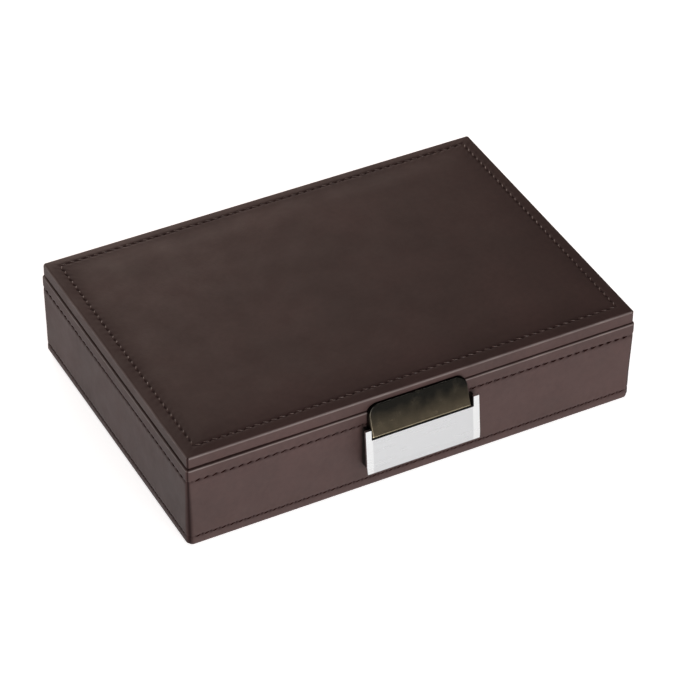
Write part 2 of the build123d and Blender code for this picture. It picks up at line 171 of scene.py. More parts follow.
def blend_colours(tree, factor, first, second, low=noise_low, high=noise_high):
    """A colour from a first to a second, each a hex value or a socket, as a factor goes from low to high."""
    share = add_node(tree, "ShaderNodeMapRange", {"Value": factor, "From Min": low, "From Max": high})
    ends = [linear(colour) if isinstance(colour, str) else colour for colour in (first, second)]
    sockets = {"Factor": share.outputs["Result"], "A": ends[0], "B": ends[1]}
    return add_node(tree, "ShaderNodeMix", sockets, data_type="RGBA").outputs["Result"]


def grain_colour(tree, shader, grain, low_hex, high_hex):
    """Let the shader's base colour follow a noise, from one hex value to another."""
    tree.links.new(blend_colours(tree, grain, low_hex, high_hex), shader.inputs["Base Color"])


def relief(tree, shader, height, depth_mm):
    """Bump of a real depth from a height between 0 and 1."""
    bump = add_node(tree, "ShaderNodeBump", {"Height": height, "Distance": depth_mm * MM, "Strength": 1.0})
    tree.links.new(bump.outputs["Normal"], shader.inputs["Normal"])


def grained_material(name, constants, low_hex, high_hex, size_mm, detail=3.0, depth_mm=None):
    """A material whose colour follows one noise, and its relief too where it has a depth."""
    material, tree, shader = start_material(name, constants)
    grain = grain_noise(tree, size_mm, detail)
    grain_colour(tree, shader, grain, low_hex, high_hex)
    if depth_mm:
        relief(tree, shader, grain, depth_mm)
    return material


def dress(node, material):
    """Give a CAD node's object its material."""
    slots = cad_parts[node].data.materials
    slots.clear()
    slots.append(material)


fibreboard = grained_material(
    "raw fibreboard", {"Roughness": 0.85}, "#8d6f50", "#b08e68", size_mm=1.2, detail=5.0, depth_mm=0.06
)
for board in ("front_wall", "rear_wall", "left_wall", "right_wall", "base", "lid"):
    dress(board + "_board", fibreboard)
# Grey card: flat and dull, with hardly a fleck.
dress("lid_lining_card", grained_material("grey card", {"Roughness": 0.9}, "#6c675f", "#7f7a70", size_mm=0.8))
# Polyether foam: pale open cells that break up the light.
sheet_foam = grained_material(
    "polyether foam", {"Roughness": 0.95}, "#b9b3a4", "#d6d0c2", size_mm=0.6, detail=2.0, depth_mm=0.15
)
dress("lid_foam", sheet_foam)


# Tray leather. One smooth, dark brown bonded leather wraps the walls from under the foot, over the rim and
# down inside as a lip. Two rows of stitching draw it in, and it butts at the four vertical corners.
pebble_size = 0.9


def bonded_leather(name):
    """Bonded leather: clouded dark brown dye under a clear finish that a fine pebble breaks up. An attribute
    is above 0 where the leather sinks into a stitch or seam, and along the lid's border; there it gets
    painted shade and is dull. It is below 0 on the edges, which hands have rubbed to a polish and which get a
    painted highlight."""
    material, tree, shader = start_material(name, {"Specular IOR Level": 0.4, "IOR": 1.46})
    flecks = grain_noise(tree, size_mm=2.2, detail=6.0)
    crease_shade_and_edge_highlight = add_node(tree, "ShaderNodeAttribute", attribute_name="crease_shade_and_edge_highlight").outputs["Fac"]
    # How polished each edge is; the same share also paints a highlight on it.
    rubbed = add_node(tree, "ShaderNodeMapRange", {"Value": crease_shade_and_edge_highlight, "From Max": -1.0}).outputs["Result"]
    dye = blend_colours(tree, grain_noise(tree, size_mm=30.0, detail=4.0), "#3e2b28", "#48322f")
    fleck = {"Value": flecks, "From Min": noise_low, "From Max": noise_high, "To Min": 0.92, "To Max": 1.06}
    fleck = add_node(tree, "ShaderNodeMapRange", fleck).outputs["Result"]
    flecked = {0: dye, "Scale": fleck}
    dye = add_node(tree, "ShaderNodeVectorMath", flecked, operation="SCALE").outputs["Vector"]
    # Painted shade: the stitch lines and holes, the seams and the lid's border are darkened towards near
    # black.
    dye = blend_colours(tree, crease_shade_and_edge_highlight, dye, "#1c0605", low=0.0, high=1.0)
    # Painted highlight: the polished edges are paled towards a neutral grey.
    paler = add_node(tree, "ShaderNodeMapRange", {"Value": rubbed, "To Max": 0.6}).outputs["Result"]
    dye = blend_colours(tree, paler, dye, "#958884", low=0.0, high=1.0)
    tree.links.new(dye, shader.inputs["Base Color"])
    wear = grain_noise(tree, size_mm=9.0, detail=5.0)
    finish = {"Value": wear, "From Min": noise_low, "From Max": noise_high, "To Min": 0.6, "To Max": 0.68}
    finish = add_node(tree, "ShaderNodeMapRange", finish).outputs["Result"]
    polish = {"Value": rubbed, "To Min": 1.0, "To Max": 0.5}
    polish = add_node(tree, "ShaderNodeMapRange", polish).outputs["Result"]
    finish = add_node(tree, "ShaderNodeMath", {0: finish, 1: polish}, operation="MULTIPLY").outputs["Value"]
    dull = add_node(tree, "ShaderNodeMapRange", {"Value": crease_shade_and_edge_highlight, "To Max": 0.4}).outputs["Result"]
    finish = add_node(tree, "ShaderNodeMath", {0: finish, 1: dull}, operation="ADD").outputs["Value"]
    tree.links.new(finish, shader.inputs["Roughness"])
    pebble = add_node(tree, "ShaderNodeTexCoord").outputs["Object"]
    pebble = {"Vector": pebble, "Scale": 1 / (pebble_size * MM)}
    pebble = add_node(tree, "ShaderNodeTexVoronoi", pebble, feature="SMOOTH_F1").outputs["Distance"]
    fine = add_node(tree, "ShaderNodeMath", {0: pebble, 1: flecks}, operation="ADD").outputs["Value"]
    unrubbed = add_node(tree, "ShaderNodeMath", {0: 1.0, 1: rubbed}, operation="SUBTRACT").outputs["Value"]
    fine = add_node(tree, "ShaderNodeMath", {0: fine, 1: unrubbed}, operation="MULTIPLY").outputs["Value"]
    relief(tree, shader, fine, depth_mm=0.02)
    return material


leather = bonded_leather("bonded leather, dark brown")

# The outline, and the profile from the foot to the lip.
tray_half_x = 90.0
tray_half_y = 62.0
tray_corner = 2.4
tray_corner_at_rim = 1.5
taper_start = 12.0
taper_height = 16.0
leather_thickness = 1.0
board_inset = 7.0
foot_z = 0.3
foot_radius = 2.5
sole_inset = 5.0
face_start = 0.2
rim_z = 35.6
rim_radius = 0.7
rim_insets = (2.5, 4.5, 6.0)
lip_inset = 8.0
lip_radius = 0.7
lip_angles = (0.0, 0.8, 1.57)
lip_heights = (33.6, 31.5)
lip_bottom = 29.6
inner_foot_inset = 2.0
inner_foot_rise = 2.2
# Stitch rows and seams with painted shade, the waves of the face, and worn edges with a painted highlight.
tray_stitch_pitch = 3.3
columns_per_stitch = 6
corner_steps = 10
upper_row_z = 30.5
lower_row_z = 5.0
upper_row_reach = 2.6
lower_row_reach = 2.4
face_steps = (16, 8, 20, 4)
row_sink = 0.16
row_half_width = 0.55
hole_sink = 0.42
hole_sharpness = 4
puff = 0.1
shoulder_offset = 1.5
shoulder_half_width = 0.8
line_shade = 0.3
seam_half_angle = math.radians(26)
seam_depth = 0.5
slackness_over_row = 0.45
face_tolerance = 0.05
face_sink = 0.07
face_wave = 0.06
face_wave_length = 16.0
patch_mean = 0.85
patch_wave = 0.45
patch_length = 9.0
polish_and_highlight_bend = 1.3
weld_distance = 0.002
# The pockets for the hinges, and the step that keeps the two faces of the leather apart there.
pocket_margin = 0.2
pocket_depth = 0.3
pocket_step = 0.05


def box_mm(node):
    """The low and high corner of a CAD node's box, in millimetres."""
    return [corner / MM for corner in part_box(node)]


def held(share):
    """A share held between 0 and 1."""
    return min(max(share, 0.0), 1.0)


def bell(offset, half_width):
    """1 at no offset, falling off smoothly over a half width."""
    return math.exp(-((offset / half_width) ** 2))


def stitch_counts(half_x, half_y, end_gap, pitch):
    """How many stitches fit along each of the four sides."""
    return [round(2 * (half - end_gap) / pitch) for half in (half_x, half_y)] * 2


def wrap_stations(counts):
    """Stations round a rounded rectangle: side number, share along it from -1 to 1, and angle in a corner."""
    stations = []
    for side, count in enumerate(counts):
        steps = count * columns_per_stitch
        stations += [(side, -1 + 2 * step / steps, 0.0) for step in range(steps + 1)]
        stations += [(side, 1.0, step / corner_steps) for step in range(1, corner_steps)]
    return stations


def ring_point(station, half_x, half_y, inset, corner):
    """Place and outward direction of a station on the ring that lies inset from the outline."""
    side, along, turned = station
    radius = max(corner - inset, 0.0)
    half_long, half_wide = (half_x, half_y) if side % 2 == 0 else (half_y, half_x)
    straight = half_long - inset - radius
    angle = turned * math.pi / 2
    x = along * straight + math.sin(angle) * radius
    y = -(half_wide - inset - radius) - math.cos(angle) * radius
    out = Vector((math.sin(angle), -math.cos(angle), 0))
    turn = Matrix.Rotation(side * math.pi / 2, 3, "Z")
    return turn @ Vector((x, y, 0)), turn @ out


def stitch_phase(station, count):
    """0 in the middle of a stitch and 1 at the holes between; None from one corner's end to the next."""
    side, along, turned = station
    if turned or abs(along) == 1:
        return None
    place = (along + 1) / 2 * count
    return 0.5 - 0.5 * math.cos(2 * math.pi * (place - 0.5))


def row_relief(offset, phase, strength=1.0):
    """How far a stitch row draws the leather in at an offset from its line, and its painted shade there."""
    line = bell(offset, row_half_width)
    if phase is None:
        return strength * row_sink * line, line_shade * line
    hole = phase**hole_sharpness
    shoulder = bell(abs(offset) - shoulder_offset, shoulder_half_width)
    drawn = (row_sink + hole_sink * hole) * line - puff * (1 - phase) * shoulder
    return strength * drawn, line * (line_shade + (1 - line_shade) * hole)


def seam_notch(turned, half_angle):
    """1 on the seam in the middle of a corner, falling off over an angle."""
    return bell(abs(turned * math.pi / 2 - math.pi / 4), half_angle)


def polished_highlit_edge(rise, radius, place):
    """How polished, and so how brightly painted with a highlight, a rounded edge is at a rise from where its
    arc starts; it wears in patches.
    """
    patch = patch_mean + patch_wave * noise.noise(place / patch_length)
    return patch * math.sin(math.pi * held(rise / radius) ** polish_and_highlight_bend)


def mesh_object(name, points, faces, crease_shade_and_edge_highlight=None):
    """A smooth-shaded object from points in millimetres, with doubles merged."""
    data = bpy.data.meshes.new(name)
    data.from_pydata([Vector(p) * MM for p in points], [], faces)
    if crease_shade_and_edge_highlight is not None:
        data.attributes.new("crease_shade_and_edge_highlight", "FLOAT", "POINT").data.foreach_set("value", crease_shade_and_edge_highlight)
    shape = bmesh.new()
    shape.from_mesh(data)
    bmesh.ops.remove_doubles(shape, verts=shape.verts, dist=weld_distance * MM)
    for face in shape.faces:
        face.smooth = True
    shape.to_mesh(data)
    shape.free()
    return add_object(name, data)


def ring_faces(rows, columns, closed):
    """Quads between rows of a swept wrap; a closed one joins the last row to the first."""
    faces = []
    for row in range(rows if closed else rows - 1):
        low = row * columns
        high = ((row + 1) % rows) * columns
        for column in range(columns):
            after = (column + 1) % columns
            faces.append((low + column, low + after, high + after, high + column))
    return faces


def grid_faces(start, wide, deep):
    """Quads of a grid of points that are listed row by row."""
    corners = [start + row * wide + column for row in range(deep - 1) for column in range(wide - 1)]
    return [(corner, corner + 1, corner + wide + 1, corner + wide) for corner in corners]


def grid_rim(start, wide, deep):
    """The points round such a grid, from its first point along its first row."""
    rim = list(range(wide)) + [row * wide + wide - 1 for row in range(1, deep)]
    rim += [(deep - 1) * wide + column for column in reversed(range(wide - 1))]
    rim += [row * wide for row in reversed(range(1, deep - 1))]
    return [start + point for point in rim]


def spread(low, high, count):
    """Evenly spaced values from low up to, but not including, high."""
    return [low + (high - low) * step / count for step in range(count)]


def arc(centre_inset, centre_z, radius, start, end, steps):
    """Points (inset, z) on an arc of the profile; 0 degrees points outwards and 90 up."""
    angles = [math.radians(start + (end - start) * step / steps) for step in range(steps + 1)]
    return [(centre_inset - radius * math.cos(a), centre_z + radius * math.sin(a)) for a in angles]


def tray_profile():
    """Profile of the wrap as (inset, z), from under the foot, up the face, over the rim and back inside."""
    points = [(board_inset, foot_z), (sole_inset, foot_z)]
    points += arc(foot_radius, foot_z + foot_radius, foot_radius, -90, 0, steps=7)
    heights = [foot_z + foot_radius + face_start, lower_row_z + lower_row_reach]
    heights += [upper_row_z - upper_row_reach, upper_row_z + upper_row_reach, rim_z - rim_radius]
    for low, high, count in zip(heights, heights[1:], face_steps):
        points += [(0.0, z) for z in spread(low, high, count)]
    points += arc(rim_radius, rim_z - rim_radius, rim_radius, 0, 90, steps=5)
    points += [(inset, rim_z) for inset in rim_insets]
    for a in lip_angles:
        points.append((lip_inset - lip_radius * (1 - math.sin(a)), rim_z - lip_radius * (1 - math.cos(a))))
    points += [(lip_inset, z) for z in (*lip_heights, lip_bottom)]
    points += [(board_inset, lip_bottom), (board_inset, rim_z - leather_thickness)]
    points += [(leather_thickness, rim_z - leather_thickness), (leather_thickness, foot_z + inner_foot_rise)]
    return points + [(inset, foot_z + leather_thickness) for inset in (inner_foot_inset, board_inset)]


def beside(place, low, high):
    """Whether a place lies within a pocket's width, along x, round a box."""
    return low.x - pocket_margin <= place.x <= high.x + pocket_margin


def over_hinge(place, boxes):
    """Whether a place lies over a hinge leaf's pocket, which is open at the rear."""
    return any(beside(place, low, high) and place.y >= low.y - pocket_margin for low, high in boxes)


hinge_boxes = [box_mm(side + "_hinge_tray_leaf") for side in ("left", "right")]
tray_counts = stitch_counts(tray_half_x, tray_half_y, tray_corner, tray_stitch_pitch)


def tray_wrap():
    """Points, faces and painted shade and highlight values of the tray's leather."""
    stations = wrap_stations(tray_counts)
    under_rim = rim_z - leather_thickness
    points, creases = [], []
    for inset, z in tray_profile():
        corner = tray_corner + held((z - taper_start) / taper_height) * (tray_corner_at_rim - tray_corner)
        slackness = slackness_over_row if z > upper_row_z else 1.0
        for station in stations:
            place, out = ring_point(station, tray_half_x, tray_half_y, inset, corner)
            sink, crease_shade_and_edge_highlight = 0.0, 0.0
            if inset < face_tolerance:
                phase = stitch_phase(station, tray_counts[station[0]])
                # Each stitch row draws the leather in and paints shade along it, darkest at the holes.
                for row_z in (upper_row_z, lower_row_z):
                    drawn, dark = row_relief(z - row_z, phase)
                    sink += drawn
                    crease_shade_and_edge_highlight = max(crease_shade_and_edge_highlight, dark)
                sink += face_sink + face_wave * noise.noise(Vector((place.x, place.y, z)) / face_wave_length)
            # The corner seam sinks, and gets painted shade.
            if station[2] and inset < leather_thickness:
                notch = seam_notch(station[2], seam_half_angle * slackness)
                sink += seam_depth * notch * slackness
                crease_shade_and_edge_highlight = max(crease_shade_and_edge_highlight, notch)
            place = place - out * sink
            # The rim's edge is polished, and gets a painted highlight.
            if inset < rim_radius and z > rim_z - rim_radius:
                crease_shade_and_edge_highlight -= polished_highlit_edge(z - rim_z + rim_radius, rim_radius, place)
            height = z
            if over_hinge(place, hinge_boxes) and z > under_rim - pocket_depth:
                height = under_rim - (0.0 if z > under_rim else pocket_step)
            points.append((place.x, place.y, height))
            creases.append(crease_shade_and_edge_highlight)
    rows = len(points) // len(stations)
    return points, ring_faces(rows, len(stations), True), creases


tray_leather = mesh_object("tray_leather", *tray_wrap())
tray_leather.data.materials.append(leather)
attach(tray_leather, "tray")
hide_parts("front_leather", "rear_leather", "left_leather", "right_leather")


# Tray stitching. Two rows of dark waxed thread, painted darker still as shade in their grooves, run round the
# tray, one under the rim and one over the foot, lock-stitched at nearly eight to the inch; each stitch lies a
# little aslant in the groove that it has drawn.
stitch_length = 2.1
stitch_slant = math.radians(22)
thread_radius = 0.3
thread_inset = 0.32
dull_roughness = 0.65
gloss_smoothing = 0.33
gloss_specular = 0.5


def start_tree(name, sockets, output):
    """A new geometry node tree with one geometry output; returns it and what it is given."""
    tree = bpy.data.node_groups.new(name, "GeometryNodeTree")
    for label, kind in sockets.items():
        tree.interface.new_socket(label, in_out="INPUT", socket_type="NodeSocket" + kind)
    tree.interface.new_socket(output, in_out="OUTPUT", socket_type="NodeSocketGeometry")
    return tree, add_node(tree, "NodeGroupInput").outputs


def end_tree(tree, output, points, instance, rotation, material):
    """Put an instance on every point, make them real, set their material, and give them out."""
    placed = {"Points": points, "Instance": instance, "Rotation": rotation}
    placed = add_node(tree, "GeometryNodeInstanceOnPoints", placed).outputs["Instances"]
    real = add_node(tree, "GeometryNodeRealizeInstances", {"Geometry": placed}).outputs["Geometry"]
    dressed = {"Geometry": real, "Material": material}
    dressed = add_node(tree, "GeometryNodeSetMaterial", dressed).outputs["Geometry"]
    add_node(tree, "NodeGroupOutput", {output: dressed})


def lockstitch_tree():
    """Geometry nodes: one slanted stitch at every point of the curves."""
    sockets = {"Rows": "Geometry", "Stitch Length": "Float", "Thread Radius": "Float", "Slant": "Vector"}
    tree, given = start_tree("lockstitch row", {**sockets, "Thread": "Material"}, "Stitches")
    places = add_node(tree, "GeometryNodeCurveToPoints", {"Curve": given["Rows"]}, mode="EVALUATED").outputs
    capsule = {"Segments": 8, "Rings": 6, "Radius": 1.0}
    capsule = add_node(tree, "GeometryNodeMeshUVSphere", capsule).outputs["Mesh"]
    half = add_node(tree, "ShaderNodeMath", {0: given["Stitch Length"], 1: 0.5}, operation="MULTIPLY")
    size = {"X": given["Thread Radius"], "Y": given["Thread Radius"], "Z": half.outputs["Value"]}
    size = add_node(tree, "ShaderNodeCombineXYZ", size).outputs["Vector"]
    stitch = add_node(tree, "GeometryNodeTransform", {"Geometry": capsule, "Scale": size}).outputs["Geometry"]
    turn = add_node(tree, "FunctionNodeAlignRotationToVector", {"Vector": places["Tangent"]}, axis="Z")
    turn = {"Rotation": turn.outputs["Rotation"], "Vector": places["Normal"]}
    turn = add_node(tree, "FunctionNodeAlignRotationToVector", turn, axis="X", pivot_axis="Z")
    slant = add_node(tree, "FunctionNodeEulerToRotation", {"Euler": given["Slant"]}).outputs["Rotation"]
    turn = {"Rotation": turn.outputs["Rotation"], "Rotate By": slant}
    turn = add_node(tree, "FunctionNodeRotateRotation", turn, rotation_space="LOCAL").outputs["Rotation"]
    smooth = add_node(tree, "GeometryNodeSetShadeSmooth", {"Geometry": stitch}).outputs["Geometry"]
    end_tree(tree, "Stitches", places["Points"], smooth, turn, given["Thread"])
    return tree


def evaluated_mesh(source):
    """The plain mesh that an object's modifiers make of it; the modifiers are removed."""
    graph = bpy.context.evaluated_depsgraph_get()
    data = bpy.data.meshes.new_from_object(source.evaluated_get(graph), depsgraph=graph)
    source.modifiers.clear()
    return data


def apply_tree(name, source, tree, **settings):
    """Run a node tree on an object, and return its result as a plain mesh object."""
    modifier = source.modifiers.new("maker", "NODES")
    modifier.node_group = tree
    sockets = {item.name: item.identifier for item in tree.interface.items_tree if item.in_out == "INPUT"}
    for label, value in settings.items():
        modifier[sockets[label.replace("_", " ")]] = value
    data = evaluated_mesh(source)
    data.name = name
    bpy.data.objects.remove(source)
    return add_object(name, data)


def row_curves(rows):
    """A curve object with one poly spline per row, its points at the stitch centres."""
    data = bpy.data.curves.new("stitch_rows", "CURVE")
    data.dimensions = "3D"
    for row in rows:
        spline = data.splines.new("POLY")
        spline.points.add(len(row) - 1)
        for point, place in zip(spline.points, row):
            point.co = (*(Vector(place) * MM), 1.0)
    return add_object("stitch_rows", data)


def stitch_rows(half_x, half_y, corner, counts, inset, height_of):
    """Stitch centres along the four sides at an inset, with their height from a function of the place."""
    rows = []
    for side, count in enumerate(counts):
        row = []
        for number in range(count):
            along = -1 + 2 * (number + 0.5) / count
            place = ring_point((side, along, 0.0), half_x, half_y, inset, corner)[0]
            row.append((place.x, place.y, height_of(place.x, place.y)))
        rows.append(row)
    return rows


def waxed_polyester(name, low_hex, high_hex, gloss):
    """Twisted thread under wax: dull in the tray's grooves, and glossier where hands have rubbed it. It comes
    in two copies of one thread, painted darker as shaded and painted paler as lit.
    """
    roughness = dull_roughness - gloss_smoothing * gloss
    looks = {"Roughness": roughness, "Specular IOR Level": gloss_specular * gloss}
    return grained_material(name, looks, low_hex, high_hex, size_mm=0.5, depth_mm=0.05)


# The tray's thread is painted darker as shaded, and the lid's paler as lit; the real thread is one.
shaded_thread = waxed_polyester("waxed polyester thread, painted darker as shaded", "#120504", "#26110d", gloss=0.0)
lit_thread = waxed_polyester("waxed polyester thread, painted paler as lit", "#34201c", "#624a44", gloss=1.0)
lockstitch = lockstitch_tree()
face_rows = []
for row_z in (upper_row_z, lower_row_z):
    row = stitch_rows(tray_half_x, tray_half_y, tray_corner, tray_counts, thread_inset, lambda x, y: row_z)
    face_rows += row
tray_stitches = apply_tree(
    "tray_stitches",
    row_curves(face_rows),
    lockstitch,
    Stitch_Length=stitch_length * MM,
    Thread_Radius=thread_radius * MM,
    Slant=(stitch_slant, 0.0, 0.0),
    Thread=shaded_thread,
)
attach(tray_stitches, "tray")


# Clasp. A pressed steel keeper with two studs stands on a moulded black block on the tray. The hood is cast
# zinc, plated, and held under the lid's edge by two screws.
keeper_highlight_start = 19.9
keeper_highlight_end = 20.3
hood_reflection_top = 37.0
hood_reflection_bottom = 29.0
smear_shift = -0.6
hood_edge_highlight = (27.85, 27.72, "#9a8f78")
hood_edge_shade = (27.6, 27.48, "#12110f")


def object_axis(tree, axis):
    """A place's coordinate along one axis of the object."""
    place = add_node(tree, "ShaderNodeTexCoord").outputs["Object"]
    return add_node(tree, "ShaderNodeSeparateXYZ", {"Vector": place}).outputs[axis]


def grain_roughness(tree, shader, grain, low, high):
    """Let the shader's roughness follow a noise, from low to high."""
    span = {"Value": grain, "From Min": noise_low, "From Max": noise_high, "To Min": low, "To Max": high}
    tree.links.new(add_node(tree, "ShaderNodeMapRange", span).outputs["Result"], shader.inputs["Roughness"])


# Satin steel: fine brush lines along it spread the light to an even pale grey, and a painted highlight makes
# the bent ends brighter.
satin_steel, tree, shader = start_material("satin stainless steel", {"Metallic": 1.0})
brushing = grain_noise(tree, size_mm=0.5, detail=2.0, stretch=(0.04, 1, 1))
across = {0: object_axis(tree, "X")}
across = add_node(tree, "ShaderNodeMath", across, operation="ABSOLUTE").outputs["Value"]
# Painted highlight on the bent ends of the keeper.
steel = blend_colours(tree, across, "#cfcfd0", "#e2e2e2", keeper_highlight_start * MM, keeper_highlight_end * MM)
tree.links.new(steel, shader.inputs["Base Color"])
grain_roughness(tree, shader, brushing, low=0.26, high=0.34)
relief(tree, shader, brushing, depth_mm=0.004)
dress("clasp_keeper", satin_steel)

# Moulded ABS: black, with a fine spark texture that leaves it dull.
plastic_looks = {"Base Color": linear("#17120f"), "Roughness": 0.5}
moulded_abs, tree, shader = start_material("moulded ABS, black", plastic_looks)
relief(tree, shader, grain_noise(tree, size_mm=0.4), depth_mm=0.02)
dress("clasp_block", moulded_abs)

# Black nickel: a dark mirror hazed by handling. Its colour holds a painted reflection, lighter brown lower
# down and broken by smears, a thin painted highlight along its lower edge, and painted shade under that.
black_nickel, tree, shader = start_material("black nickel plate on zinc", {"Metallic": 1.0})
smears = grain_noise(tree, size_mm=5.0, detail=6.0)
height = object_axis(tree, "Z")
# Painted reflection: lighter brown towards the bottom of the hood.
reflection_lower_down = {"Value": height, "From Min": hood_reflection_top * MM, "From Max": hood_reflection_bottom * MM}
reflection_lower_down = add_node(tree, "ShaderNodeMapRange", reflection_lower_down).outputs["Result"]
patches = add_node(tree, "ShaderNodeMath", {0: smears, 1: smear_shift}, operation="ADD").outputs["Value"]
reflection_and_smears = {0: reflection_lower_down, 1: patches}
reflection_and_smears = add_node(tree, "ShaderNodeMath", reflection_and_smears, operation="ADD", use_clamp=True).outputs["Value"]
plate = blend_colours(tree, reflection_and_smears, "#21201d", "#50483b", low=0.0, high=1.0)
# A thin painted highlight along the lower edge, and painted shade under it.
for start, end, hex_colour in (hood_edge_highlight, hood_edge_shade):
    plate = blend_colours(tree, height, plate, hex_colour, low=start * MM, high=end * MM)
tree.links.new(plate, shader.inputs["Base Color"])
grain_roughness(tree, shader, smears, low=0.18, high=0.3)
dress("clasp_hood", black_nickel)


# Hinges. Two steel stop hinges, nickel plated, let into the rear rim and the lid's underside. The nuts that
# are pushed onto the keeper's studs have the same plate.
# Bright nickel: a warm white metal that mirrors softly through its drawing lines.
nickel_looks = {"Metallic": 1.0, "Base Color": linear("#d2cdc2")}
bright_nickel, tree, shader = start_material("bright nickel plate on steel", nickel_looks)
drawing_lines = grain_noise(tree, size_mm=0.6, detail=2.0, stretch=(0.05, 1, 1))
grain_roughness(tree, shader, drawing_lines, low=0.16, high=0.28)
for side in ("left", "right"):
    for part in ("tray_leaf", "lid_leaf", "pin"):
        dress(f"{side}_hinge_{part}", bright_nickel)
dress("keeper_push_nuts", bright_nickel)


# Lid leather. The same leather, glued over the foam and board and turned under the edge. A row of stitches
# runs round it and leaves a border that slopes down to a crisp edge.
lid_half_x = 89.4
lid_half_y = 61.4
lid_corner = 0.8
lid_bottom = 36.4
lid_edge_z = 41.0
lid_top_z = 42.2
lid_border = 4.9
lid_border_rise = 0.52
lid_border_bend = 1.6
lid_mitre_width = 3.0
lid_crown_width = 15.0
lid_wave = 0.03
lid_wave_length = 22.0
lid_face_sink = 0.04
lid_turn_in = 8.0
lid_sole_inset = 4.0
lid_fold_radius = 0.25
lid_side_start = 0.6
lid_edge_radius = 0.8
lid_edge_turn = 75
lid_border_start = 0.7
lid_row_reach = 2.2
lid_ring_inset = 8.2
lid_last_ring = 9.5
lid_plain_inset = 13.0
lid_inner_inset = 6.0
lid_inner_side_top = 40.0
# The stitch row, the painted shade along it, the seams, and the slack fold along the front.
lid_stitch_pitch = 3.25
lid_thread_radius = 0.25
lid_thread_sink = 0.06
lid_row_strength = 0.6
lid_row_shade = 0.8
border_shade = 0.2
border_shade_half_width = 4.5
lid_seam_depth = 0.25
lid_slack = 0.4
slack_start = 75.0
slack_run = 45.0
slack_height = 1.6
fold_reach = 1.2
hood_pocket_depth = 0.3
hood_box = box_mm("clasp_hood")
lid_leaf_boxes = [box_mm(side + "_hinge_lid_leaf") for side in ("left", "right")]


def soft_min(a, b, width):
    """The smaller of two lengths, with the corner between them rounded over a width."""
    mix = max(width - abs(a - b), 0.0) / width
    return min(a, b) - mix * mix * width / 4


def lid_height(x, y):
    """Height of the lid's upper face, before its stitches, at a place."""
    inset = soft_min(lid_half_x - abs(x), lid_half_y - abs(y), lid_mitre_width)
    share = held(inset / lid_border)
    border = lid_edge_z + lid_border_rise * (1 - (1 - share) ** lid_border_bend)
    crown_share = held((inset - lid_border) / lid_crown_width)
    crown = (lid_top_z - lid_edge_z - lid_border_rise) * math.sin(crown_share * math.pi / 2)
    wave = lid_wave * noise.noise(Vector((x, y, 0)) / lid_wave_length)
    return border + crown + wave * share - lid_face_sink


def lid_profile():
    """Profile of the lid's wrap as (inset, z or None); None takes its height from lid_height."""
    points = [(lid_turn_in, lid_bottom), (lid_sole_inset, lid_bottom)]
    points += arc(lid_fold_radius, lid_bottom + lid_fold_radius, lid_fold_radius, -90, 0, steps=4)
    points += [(0.0, z) for z in spread(lid_bottom + lid_side_start, lid_edge_z - lid_edge_radius, count=6)]
    points += arc(lid_edge_radius, lid_edge_z - lid_edge_radius, lid_edge_radius, 0, lid_edge_turn, steps=5)
    row_start, row_end = lid_border - lid_row_reach, lid_border + lid_row_reach
    insets = spread(lid_border_start, row_start, count=6) + spread(row_start, row_end, count=18)
    return points + [(inset, None) for inset in (*insets, row_end, lid_ring_inset, lid_last_ring)]


def lid_inner_profile():
    """The wrap's hidden inner face, from the middle out and down to the turned edge."""
    low = lid_bottom + leather_thickness
    top = [(lid_inner_inset, lid_top_z - leather_thickness), (leather_thickness, lid_inner_side_top)]
    return top + [(leather_thickness, low), (lid_turn_in, low)]


def lid_point(station, inset, z, count):
    """One point of the lid's wrap and its value of painted shade and highlight."""
    place, out = ring_point(station, lid_half_x, lid_half_y, inset, lid_corner)
    crease_shade_and_edge_highlight = 0.0
    if z is None:
        from_row = inset - lid_border
        # The stitch row draws the leather in; it and the border round it get painted shade.
        drawn, dark = row_relief(from_row, stitch_phase(station, count), lid_row_strength)
        crease_shade_and_edge_highlight = max(lid_row_shade * dark, border_shade * bell(from_row, border_shade_half_width))
        z = lid_height(place.x, place.y) - drawn
    elif inset < lid_edge_radius and z > lid_edge_z - lid_edge_radius:
        # The lid's edge is polished, and gets a painted highlight.
        crease_shade_and_edge_highlight = -polished_highlit_edge(z - lid_edge_z + lid_edge_radius, lid_edge_radius, place)
    # The corner seam sinks, and gets painted shade.
    if station[2] and inset < lid_corner:
        notch = seam_notch(station[2], seam_half_angle)
        place = place - out * lid_seam_depth * notch
        crease_shade_and_edge_highlight = max(crease_shade_and_edge_highlight, notch)
    fold_y = fold_reach - lid_half_y
    if inset < fold_reach and place.y < fold_y and z < lid_bottom + slack_height:
        slack = held((place.x + slack_start) / slack_run)
        z -= lid_slack * slack * slack * (3 - 2 * slack) * (1 - max(z - lid_bottom, 0.0) / slack_height)
    low = lid_bottom + leather_thickness
    over_foot = beside(place, *hood_box) and fold_y < place.y < hood_box[1].y + pocket_margin
    if over_foot and z <= low + hood_pocket_depth:
        z = low + hood_pocket_depth - (pocket_step if z < low else 0.0)
    if over_hinge(place, lid_leaf_boxes) and z <= low:
        z = low + (0.0 if z < low else pocket_step)
    return (place.x, place.y, z), crease_shade_and_edge_highlight


